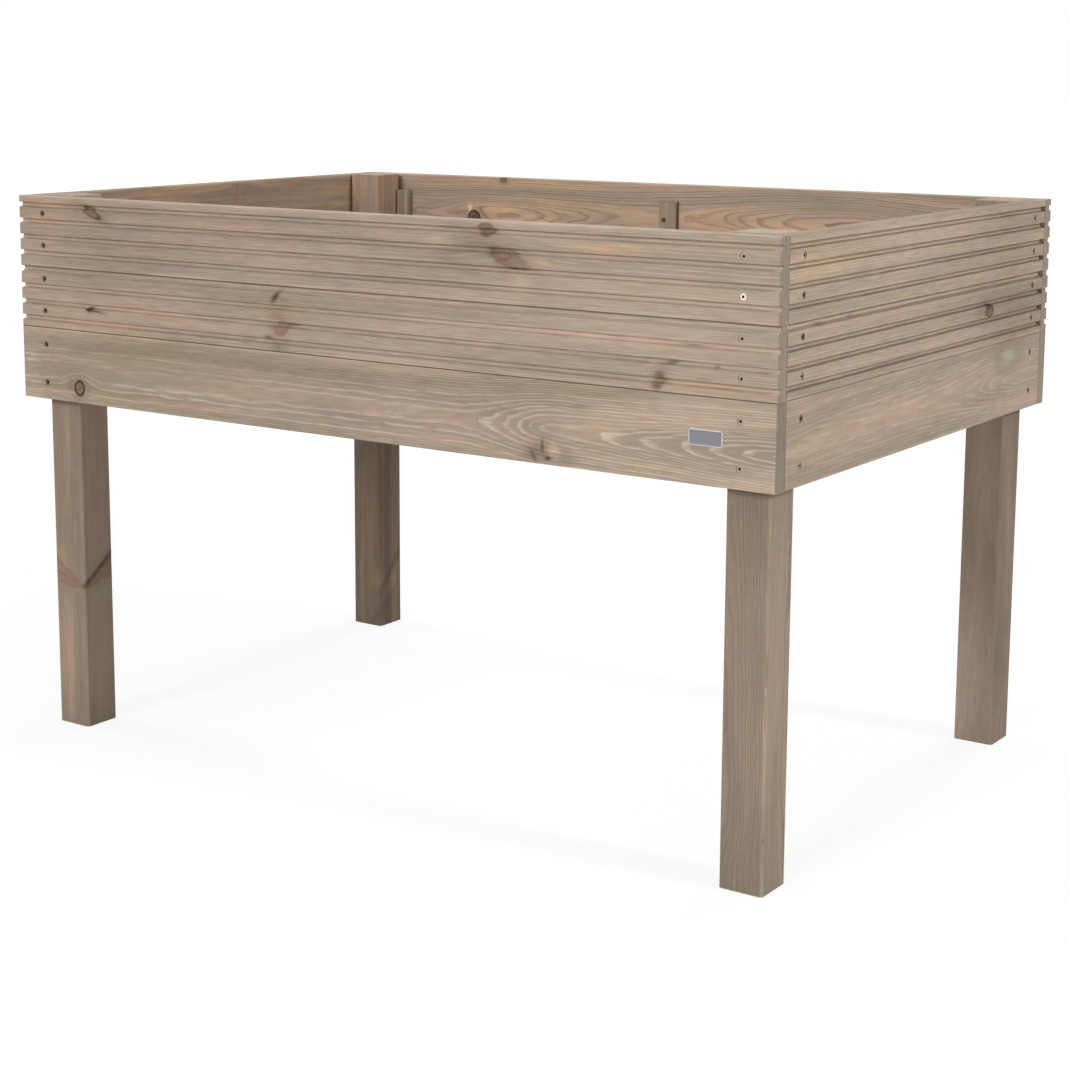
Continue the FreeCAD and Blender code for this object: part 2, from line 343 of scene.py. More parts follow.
# Colours in and round the knots
LEAST_HALO = 0.001
HEART_RINGS = 17.0
HEART_RING_WOBBLE = 4.0
HEART_RING_STEP = (-0.6, 1.2)
HEART_RING_LIGHT = 1.35
HEART_FIBRE = 1.2
SMUDGE_STEP = (0.34, 0.66)
SMUDGE_SHARE = 0.5
SMEAR_FIBRE = 1.6
FIBRE_COVER = 0.8
# Ends and edges, with steps in metres
END_STEP = (0.0011, 0.0005)
PORE_SHADE = 0.5
TRACK_SHADE = 0.9
END_LINES = 0.5
END_SHARE = 0.85
# Pale wear near long edges, which also paints a highlight along the rims
WEAR_AND_HIGHLIGHT_REACH_STEP = (0.006, 0.0012)
WEAR_AND_HIGHLIGHT_STEP = (0.4, 0.65)
# Grooves and joints, with steps in metres below the outer face
GROOVE_EDGE_STEP = (0.0005, 0.002)
FLOOR_STEP = (0.0006, 0.003)
BACK_STEP = (0.009, 0.0075)
LEDGE_STEP = (0.0003, 0.001)
LEDGE_BACK_STEP = (0.006, 0.005)
# Painted light that lifts the groove floors against the shade there
GROOVE_PAINTED_LIGHT = (1.3, 1.33, 1.36, 1.0)
SEAM_REACH = 0.0013
END_SEAM_REACH = 0.0025
END_CLEANER = 0.7
# Surface
PLAIN_ROUGHNESS = 0.68
FIBRE_ROUGHNESS = 0.2
KNOT_POLISH = 0.12
LINE_HEIGHT = 0.55
FIBRE_HEIGHT = 0.5
HEART_RING_HEIGHT = 0.2
FLECK_DEPTH = 0.6


def build_pine_group():
    """Stained pine, cut from a log whose rings run along the piece, so that its faces and ends agree."""
    tree, g, given, result = new_group(
        "pine",
        {"Position": "Vector", "Half size": "Vector", "Seed": "Vector", "Pith": "Vector", "Drift": "Vector",
         "Rise": "Float", "Ring": "Float", "Wander": "Float", "Light": "Float", "Warm": "Float",
         "Olive": "Float", "Pale lines": "Float", "Contrast": "Float", "Worn": "Float", "End light": "Float",
         "Seams": "Vector", "Groove side": "Float", "Grime": "Float",
         "Patches": "Float", "Gains": "Float", "Smears": "Float",
         "Warped": "Vector", "Lift": "Float", "Core": "Float", "Rim": "Float",
         "Halo": "Float", "Rusty": "Float", "Nearest": "Float"},
        {"Colour": "Color", "Roughness": "Float", "Height": "Float"})
    along, across, through = g.split(given["Position"])
    place = g.vector("ADD", given["Position"], given["Seed"])

    # Distance from the heart of the log, which wanders and swells along the piece
    bend = g.split(g.noise(place, BEND_GRAIN, detail=1.0).outputs["Color"])
    _, warped_across, warped_through = g.split(given["Warped"])
    _, pith_across, pith_through = g.split(given["Pith"])
    _, drift_across, drift_through = g.split(given["Drift"])
    from_across = g.add(g.less(g.less(warped_across, pith_across), g.times(drift_across, along)),
                        g.swing(bend[0], given["Wander"]))
    from_through = g.add(g.less(g.less(warped_through, pith_through), g.times(drift_through, along)),
                         g.add(g.swing(bend[1], given["Wander"]), given["Rise"]))
    radius = g.math("SQRT", g.squares(from_across, from_through))
    ripple = g.noise(place, RIPPLE_GRAIN, detail=4.0, roughness=0.56).outputs["Fac"]
    radius = g.add(g.add(radius, given["Lift"]), g.swing(ripple, RIPPLE_REACH))

    # Rings of uneven width: soft spring wood, then a harder line that takes the stain differently
    growth = g.noise_on_line(g.times(radius, GROWTH_GRAIN))
    count = g.add(g.math("DIVIDE", radius, given["Ring"]), g.swing(growth, GROWTH_REACH))
    phase = g.math("FRACT", count)
    ring_seed = g.node("ShaderNodeTexWhiteNoise", {"W": g.math("FLOOR", count)}, noise_dimensions="1D")
    line = g.times(g.smooth(phase, *LINE_START_STEP), g.smooth(phase, *LINE_END_STEP))
    line = g.times(line, g.add(g.times(ring_seed.outputs["Value"], LINE_SPREAD), LINE_FAINTEST))
    fibre_place = g.vector("ADD", given["Warped"], given["Seed"])
    fibre = g.noise(fibre_place, FIBRE_GRAIN, detail=3.0, roughness=0.62).outputs["Fac"]
    line = g.times(line, g.smooth(fibre, *LINE_FIBRE_STEP))

    # Streaks and bands follow the rings, fibres and clouds run along the piece
    seed_along, seed_across, seed_through = g.split(given["Seed"])
    band = g.noise_on_line(g.add(g.times(radius, BAND_GRAIN), seed_across), detail=2.0)
    grain_place = g.join(g.add(along, seed_along), g.add(radius, seed_across), g.add(across, seed_through))
    streak = g.noise(grain_place, STREAK_GRAIN, detail=3.0, roughness=0.6).outputs["Fac"]
    hue = g.split(g.noise(place, HUE_GRAIN, detail=3.0).outputs["Color"])
    fleck = g.noise(place, FLECK_GRAIN, detail=1.0).outputs["Fac"]
    fleck = g.smooth(fleck, *FLECK_STEP)
    glow = g.math("MAXIMUM", given["Patches"], 0.0)
    soak = g.math("MAXIMUM", g.times(given["Patches"], -1.0), 0.0)

    # The stain: greys and rose, olive and moss where it soaked in, peach where it is thin, then the lines
    colour = g.mix(g.smooth(hue[0], *ROSE_STEP), STAIN_GREY, STAIN_ROSE)
    olive = g.add(g.times(g.smooth(hue[1], *OLIVE_STEP), given["Olive"]), g.times(soak, SOAK_OLIVE))
    colour = g.mix(g.math("MINIMUM", olive, 1.0), colour, STAIN_OLIVE)
    colour = g.mix(g.smooth(soak, *MOSS_STEP), colour, STAIN_MOSS)
    peach = g.add(g.add(g.times(streak, PEACH_STREAK), g.times(band, PEACH_BAND)),
                  g.times(hue[2], PEACH_HUE))
    warm = g.add(g.times(g.smooth(peach, *PEACH_STEP), given["Warm"]),
                 g.times(glow, g.smooth(peach, *GLOW_STEP)))
    colour = g.mix(g.math("MINIMUM", warm, 1.0), colour, STAIN_PEACH)
    line_colour = g.mix(given["Pale lines"], LINE_DARK, LINE_PALE)
    plain_share = g.less(1.0, g.times(g.math("MINIMUM", soak, 1.0), SOAK_PLAIN))
    colour = g.mix(g.times(g.times(line, given["Contrast"]), plain_share), colour, line_colour)
    # The gains of the patches, which on some pieces paint light and shade, join the shade of the grain
    shade = g.add(g.add(g.swing(fibre, FIBRE_SHADE), g.swing(streak, STREAK_SHADE)),
                  g.add(g.swing(band, BAND_SHADE), given["Gains"]))
    shade = g.add(shade, g.less(1.0, g.times(soak, SOAK_SHADE)))
    colour = g.tint(colour, g.times(shade, given["Light"]))
    colour = g.mix(g.times(fleck, FLECK_SHARE), colour, LINE_DARK)

    # Knots: a smudged or rusty halo, a heart with its own rings and a dark bark line round it
    rust = g.math("DIVIDE", given["Rusty"], g.math("MAXIMUM", given["Halo"], LEAST_HALO))
    heart_ring = g.math("SINE", g.add(g.times(given["Nearest"], HEART_RINGS),
                                      g.times(fibre, HEART_RING_WOBBLE)))
    knot_colour = g.mix(rust, KNOT_HEART, KNOT_RUST)
    heart = g.mix(g.smooth(heart_ring, *HEART_RING_STEP), knot_colour,
                  g.tint(knot_colour, HEART_RING_LIGHT))
    smudge = g.times(given["Halo"], g.smooth(streak, *SMUDGE_STEP))
    colour = g.mix(g.times(smudge, SMUDGE_SHARE), colour, knot_colour)
    cover = g.times(given["Core"], g.add(g.swing(fibre, HEART_FIBRE), FIBRE_COVER))
    colour = g.mix(cover, colour, heart)
    colour = g.mix(given["Rim"], colour, KNOT_BARK)
    smear = g.times(given["Smears"], g.add(g.swing(fibre, SMEAR_FIBRE), FIBRE_COVER))
    colour = g.mix(g.math("MINIMUM", smear, 1.0), colour, KNOT_BARK)

    # Sawn ends drink more stain; long edges are rubbed pale here and there, and the same pale paints a
    # highlight along the rims
    half_along, half_across, half_through = g.split(given["Half size"])
    end_depth = g.less(half_along, g.math("ABSOLUTE", along))
    end = g.smooth(end_depth, *END_STEP)
    pores = g.noise(place, PORE_GRAIN).outputs["Fac"]
    tracks = g.noise(place, TRACK_GRAIN).outputs["Fac"]
    end_shade = g.add(g.swing(pores, PORE_SHADE), g.swing(tracks, TRACK_SHADE))
    # The end light sets how light the ends are; on the legs it also paints the light on their tops
    end_shade = g.times(g.add(end_shade, 1.0), given["End light"])
    end_colour = g.tint(g.mix(g.times(line, END_LINES), END_GRAIN, LINE_DARK), end_shade)
    colour = g.mix(g.times(end, END_SHARE), colour, end_colour)
    edge_across = g.less(half_across, g.math("ABSOLUTE", across))
    edge_through = g.less(half_through, g.math("ABSOLUTE", through))
    edge = g.math("SQRT", g.squares(edge_across, edge_through))
    patchy = g.noise(place, WEAR_AND_HIGHLIGHT_GRAIN, detail=3.0).outputs["Fac"]
    worn = g.times(g.smooth(edge, *WEAR_AND_HIGHLIGHT_REACH_STEP), g.smooth(patchy, *WEAR_AND_HIGHLIGHT_STEP))
    colour = g.mix(g.times(worn, given["Worn"]), colour, RUBBED_EDGE_AND_HIGHLIGHT)

    # Painted light lifts the groove floors, which lie in shade, and painted shade darkens the ledges in the
    # grooves
    depth = g.less(half_through, g.times(through, given["Groove side"]))
    grooved = g.times(g.math("ABSOLUTE", given["Groove side"]), g.less(1.0, end))
    grooved = g.times(grooved, g.smooth(edge_across, *GROOVE_EDGE_STEP))
    floor = g.times(g.smooth(depth, *FLOOR_STEP), g.smooth(depth, *BACK_STEP))
    colour = g.vector("MULTIPLY", colour, g.mix(g.times(floor, grooved), WHITE, GROOVE_PAINTED_LIGHT))
    # Painted shade on the ledges inside the grooves, as strong as the ledge shade of the piece
    ledge = g.times(g.smooth(depth, *LEDGE_STEP), g.smooth(depth, *LEDGE_BACK_STEP))
    colour = g.mix(g.times(g.times(ledge, grooved), given["Grime"]), colour, SEAM_DIRT_AND_SHADE)

    # Dirt in the joints between boards, at the ends and at the lower and upper edge
    seam_ends, seam_low, seam_high = g.split(given["Seams"])
    low_dirt = g.times(g.smooth(g.add(half_across, across), SEAM_REACH, 0.0), seam_low)
    high_dirt = g.times(g.smooth(g.less(half_across, across), SEAM_REACH, 0.0), seam_high)
    dirt = g.times(g.math("MAXIMUM", low_dirt, high_dirt), g.less(1.0, g.times(end, END_CLEANER)))
    dirt = g.math("MAXIMUM", dirt, g.times(g.smooth(end_depth, END_SEAM_REACH, 0.0), seam_ends))
    colour = g.mix(dirt, colour, SEAM_DIRT_AND_SHADE)

    roughness = g.less(g.add(g.times(fibre, FIBRE_ROUGHNESS), PLAIN_ROUGHNESS),
                       g.times(given["Core"], KNOT_POLISH))
    height = g.add(g.times(line, LINE_HEIGHT), g.times(fibre, FIBRE_HEIGHT))
    heart_height = g.times(given["Core"], g.times(heart_ring, HEART_RING_HEIGHT))
    height = g.less(g.add(height, heart_height), g.times(fleck, FLECK_DEPTH))
    g.feed(result["Colour"], colour)
    g.feed(result["Roughness"], roughness)
    g.feed(result["Height"], height)
    return tree


@dataclass
class Timber:
    """How one piece was cut and stained, with light and shade painted on some pieces. Pairs are across and
    through the piece.
    """
    pith: tuple = (0.01, 0.06)
    drift: tuple = (0.0, 0.0)
    ring: float = 0.0034
    wander: float = 0.03
    # How light the piece is; on the back left leg it also paints the shade under the bed
    light: float = 1.0
    warm: float = 0.5
    olive: float = 0.4
    pale_lines: float = 0.95
    contrast: float = 0.4
    # Pale wear on long edges; on the front top board it also paints a highlight along the rim
    worn: float = 0.35
    # How light the sawn ends are; on the legs it also paints the light on their tops
    end_light: float = 1.0
    seams: tuple = (0.0, 0.0, 0.0)
    groove_side: float = 0.0
    # Painted shade on the ledges in its grooves
    grime: float = 0.0
    swells: list = field(default_factory=list)
    knots: list = field(default_factory=list)
    patches: list = field(default_factory=list)


knot_group = build_knot_group()
patch_group = build_patch_group()
swell_group = build_swell_group()
pine_group = build_pine_group()

# Materials: wood, then metal, with steps in metres for the painted glint on one screw and the painted shade
# in the sockets
FAR = 99.0
SEED_REACH = 40.0
SIZE_DIGITS = 4
WOOD_BUMP_DEPTH = 0.0005
WOOD_BUMP_STRENGTH = 0.7
WOOD_SHEEN = 0.06
METAL_BUMP_DEPTH = 0.00004
METAL_BUMP_STRENGTH = 0.6
METAL_ROUGHNESS_REACH = 0.3
ZINC_ROUGHNESS = 0.38
ZINC_GRAIN = (60.0, 60.0, 60.0)
ZINC_STEP = (0.3, 0.6)
# A painted reflection: the front wall's screws lighter towards +X
FRONT_PAINTED_REFLECTION = 0.6
# The screw with a painted glint, and how far the glint reaches
GLINT_SCREW = (0.554, -0.4, 0.702)
GLINT_STEP = (0.02, 0.01)
SCREW_SINK = 0.0008
SOCKET_STEP = (0.0002, 0.001)
SATIN_ROUGHNESS = 0.34
BRUSH_GRAIN = (60.0, 4000.0, 4000.0)
BRUSH_STEP = (0.35, 0.65)


def add_group(g, group, values):
    """One use of a node group with those inputs; its outputs."""
    made = g.node("ShaderNodeGroup", node_tree=group)
    for key, value in values.items():
        g.feed(made.inputs[key], value)
    return made.outputs


def stack(g, group, place, items, totals):
    """A group used once for each item, each use adding to the totals of the one before."""
    for item in items:
        shape = {socket: getattr(item, key) for key, socket in sockets_of(type(item)).items()}
        made = add_group(g, group, {"Position": place, **shape, **totals})
        totals = {key: made[key] for key in totals}
    return totals


def wood_material(name, timber):
    """Stained pine for one node, with its grain along the node's longest side."""
    low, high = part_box(name)
    size = high - low
    order = sorted(range(3), key=lambda axis: -round(size[axis], SIZE_DIGITS))
    draw = random.Random(name)
    material = bpy.data.materials.new(name + "_pine")
    material.use_nodes = True
    tree = material.node_tree
    tree.nodes.clear()
    g = Graph(tree)
    place = g.node("ShaderNodeTexCoord").outputs["Object"]
    place = g.split(g.vector("SUBTRACT", place, (low + high) / 2))
    place = g.join(*[place[axis] for axis in order])
    marks = stack(g, knot_group, place, timber.knots,
                  {**dict.fromkeys(KNOT_MARKS, 0.0), "Warped": place, "Nearest": FAR})
    patches = stack(g, patch_group, place, timber.patches, dict.fromkeys(PATCH_TOTALS, 0.0))
    rise = stack(g, swell_group, place, timber.swells, {"Rise": 0.0})
    seed = [draw.uniform(0.0, SEED_REACH) for _ in range(3)]
    pine = add_group(g, pine_group, {
        "Position": place, "Half size": [size[axis] / 2 for axis in order], "Seed": seed,
        "Pith": (0.0, *timber.pith), "Drift": (0.0, *timber.drift), "Ring": timber.ring,
        "Wander": timber.wander, "Light": timber.light, "Warm": timber.warm, "Olive": timber.olive,
        "Pale lines": timber.pale_lines, "Contrast": timber.contrast, "Worn": timber.worn,
        "End light": timber.end_light, "Seams": timber.seams, "Groove side": timber.groove_side,
        "Grime": timber.grime, **rise, **patches, **marks})
    bump = g.node("ShaderNodeBump", {"Height": pine["Height"], "Distance": WOOD_BUMP_DEPTH,
                                     "Strength": WOOD_BUMP_STRENGTH})
    shader = g.node("ShaderNodeBsdfPrincipled",
                    {"Base Color": pine["Colour"], "Roughness": pine["Roughness"],
                     "Specular IOR Level": WOOD_SHEEN, "Normal": bump.outputs["Normal"]})
    output = g.node("ShaderNodeOutputMaterial")
    g.feed(output.inputs["Surface"], shader.outputs["BSDF"])
    return material


def metal_material(name, roughness, paint):
    """Metal whose colour and fine height come from paint, given the graph and the place on the object."""
    material = bpy.data.materials.new(name)
    material.use_nodes = True
    tree = material.node_tree
    tree.nodes.clear()
    g = Graph(tree)
    place = g.node("ShaderNodeTexCoord").outputs["Object"]
    colour, height = paint(g, place)
    rough = g.add(g.swing(height, METAL_ROUGHNESS_REACH), roughness)
    bump = g.node("ShaderNodeBump", {"Height": height, "Distance": METAL_BUMP_DEPTH,
                                     "Strength": METAL_BUMP_STRENGTH})
    shader = g.node("ShaderNodeBsdfPrincipled",
                    {"Base Color": colour, "Roughness": rough, "Metallic": 1.0,
                     "Normal": bump.outputs["Normal"]})
    output = g.node("ShaderNodeOutputMaterial")
    g.feed(output.inputs["Surface"], shader.outputs["BSDF"])
    return material


def paint_zinc(g, place, painted_reflection=0.0):
    """Zinc with dull patches, and a painted reflection that lightens it towards +X by a share for each metre.
    """
    patches = g.noise(place, ZINC_GRAIN, detail=3.0).outputs["Fac"]
    mixed = g.add(patches, g.times(g.split(place)[0], painted_reflection))
    return g.mix(g.smooth(mixed, *ZINC_STEP), ZINC_DULL, ZINC), patches


def paint_sockets(g, place, colour, axis, out):
    """Painted shade in the sockets of screw heads that lie that far out along an axis."""
    depth = g.math("ABSOLUTE", g.less(g.math("ABSOLUTE", g.split(place)[axis]), out))
    return g.mix(g.smooth(depth, *SOCKET_STEP), colour, SOCKET_SHADE)


def screw_material(name):
    """Zinc for the screws of one node. The front wall's get a painted reflection, dull on the left and
    lighter to the right, and one on the right a painted glint.
    """
    def paint(g, place):
        colour, height = paint_zinc(g, place, FRONT_PAINTED_REFLECTION if name == "front_wall_screws" else 0.0)
        if name == "front_wall_screws":
            away = g.node("ShaderNodeVectorMath", {0: place, 1: GLINT_SCREW}, operation="DISTANCE")
            colour = g.mix(g.smooth(away.outputs["Value"], *GLINT_STEP), colour, ZINC_PAINTED_GLINT)
        if name == "cleat_screws" or name.endswith("_wall_screws"):
            colour = paint_sockets(g, place, colour, *screw_heads(name))
        return colour, height
    return metal_material(name + "_zinc", ZINC_ROUGHNESS, paint)


def plate_material():
    """Brushed aluminium with a painted highlight round its rim."""
    low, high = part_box("blank_plate")
    middle = (low + high) / 2
    half = (high - low) / 2

    def paint(g, place):
        lines = g.noise(place, BRUSH_GRAIN).outputs["Fac"]
        colour = g.mix(g.smooth(lines, *BRUSH_STEP), ALUMINIUM_DULL, ALUMINIUM)
        x, _, z = g.split(g.vector("ABSOLUTE", g.vector("SUBTRACT", place, middle)))
        edge = g.math("MINIMUM", g.less(half.x, x), g.less(half.z, z))
        # A painted highlight round the rim
        return g.mix(g.smooth(edge, PLATE_BORDER, PLATE_BEVEL), colour, ALUMINIUM_RIM_HIGHLIGHT), lines
    return metal_material("satin_aluminium", SATIN_ROUGHNESS, paint)


def screw_heads(name):
    """The axis along which the screws of a wall or of the cleats run, and how far out their heads lie."""
    if name == "cleat_screws":
        return (1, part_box("back_middle_cleat")[0].y + SCREW_SINK)
    axis = 1 if name.startswith(("front", "back")) else 0
    return (axis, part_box(name)[1][axis] if name.startswith(("back", "right")) else -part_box(name)[0][axis])


def give(piece, material):
    """The one material of a piece, in all its slots."""
    piece.data.materials.clear()
    piece.data.materials.append(material)


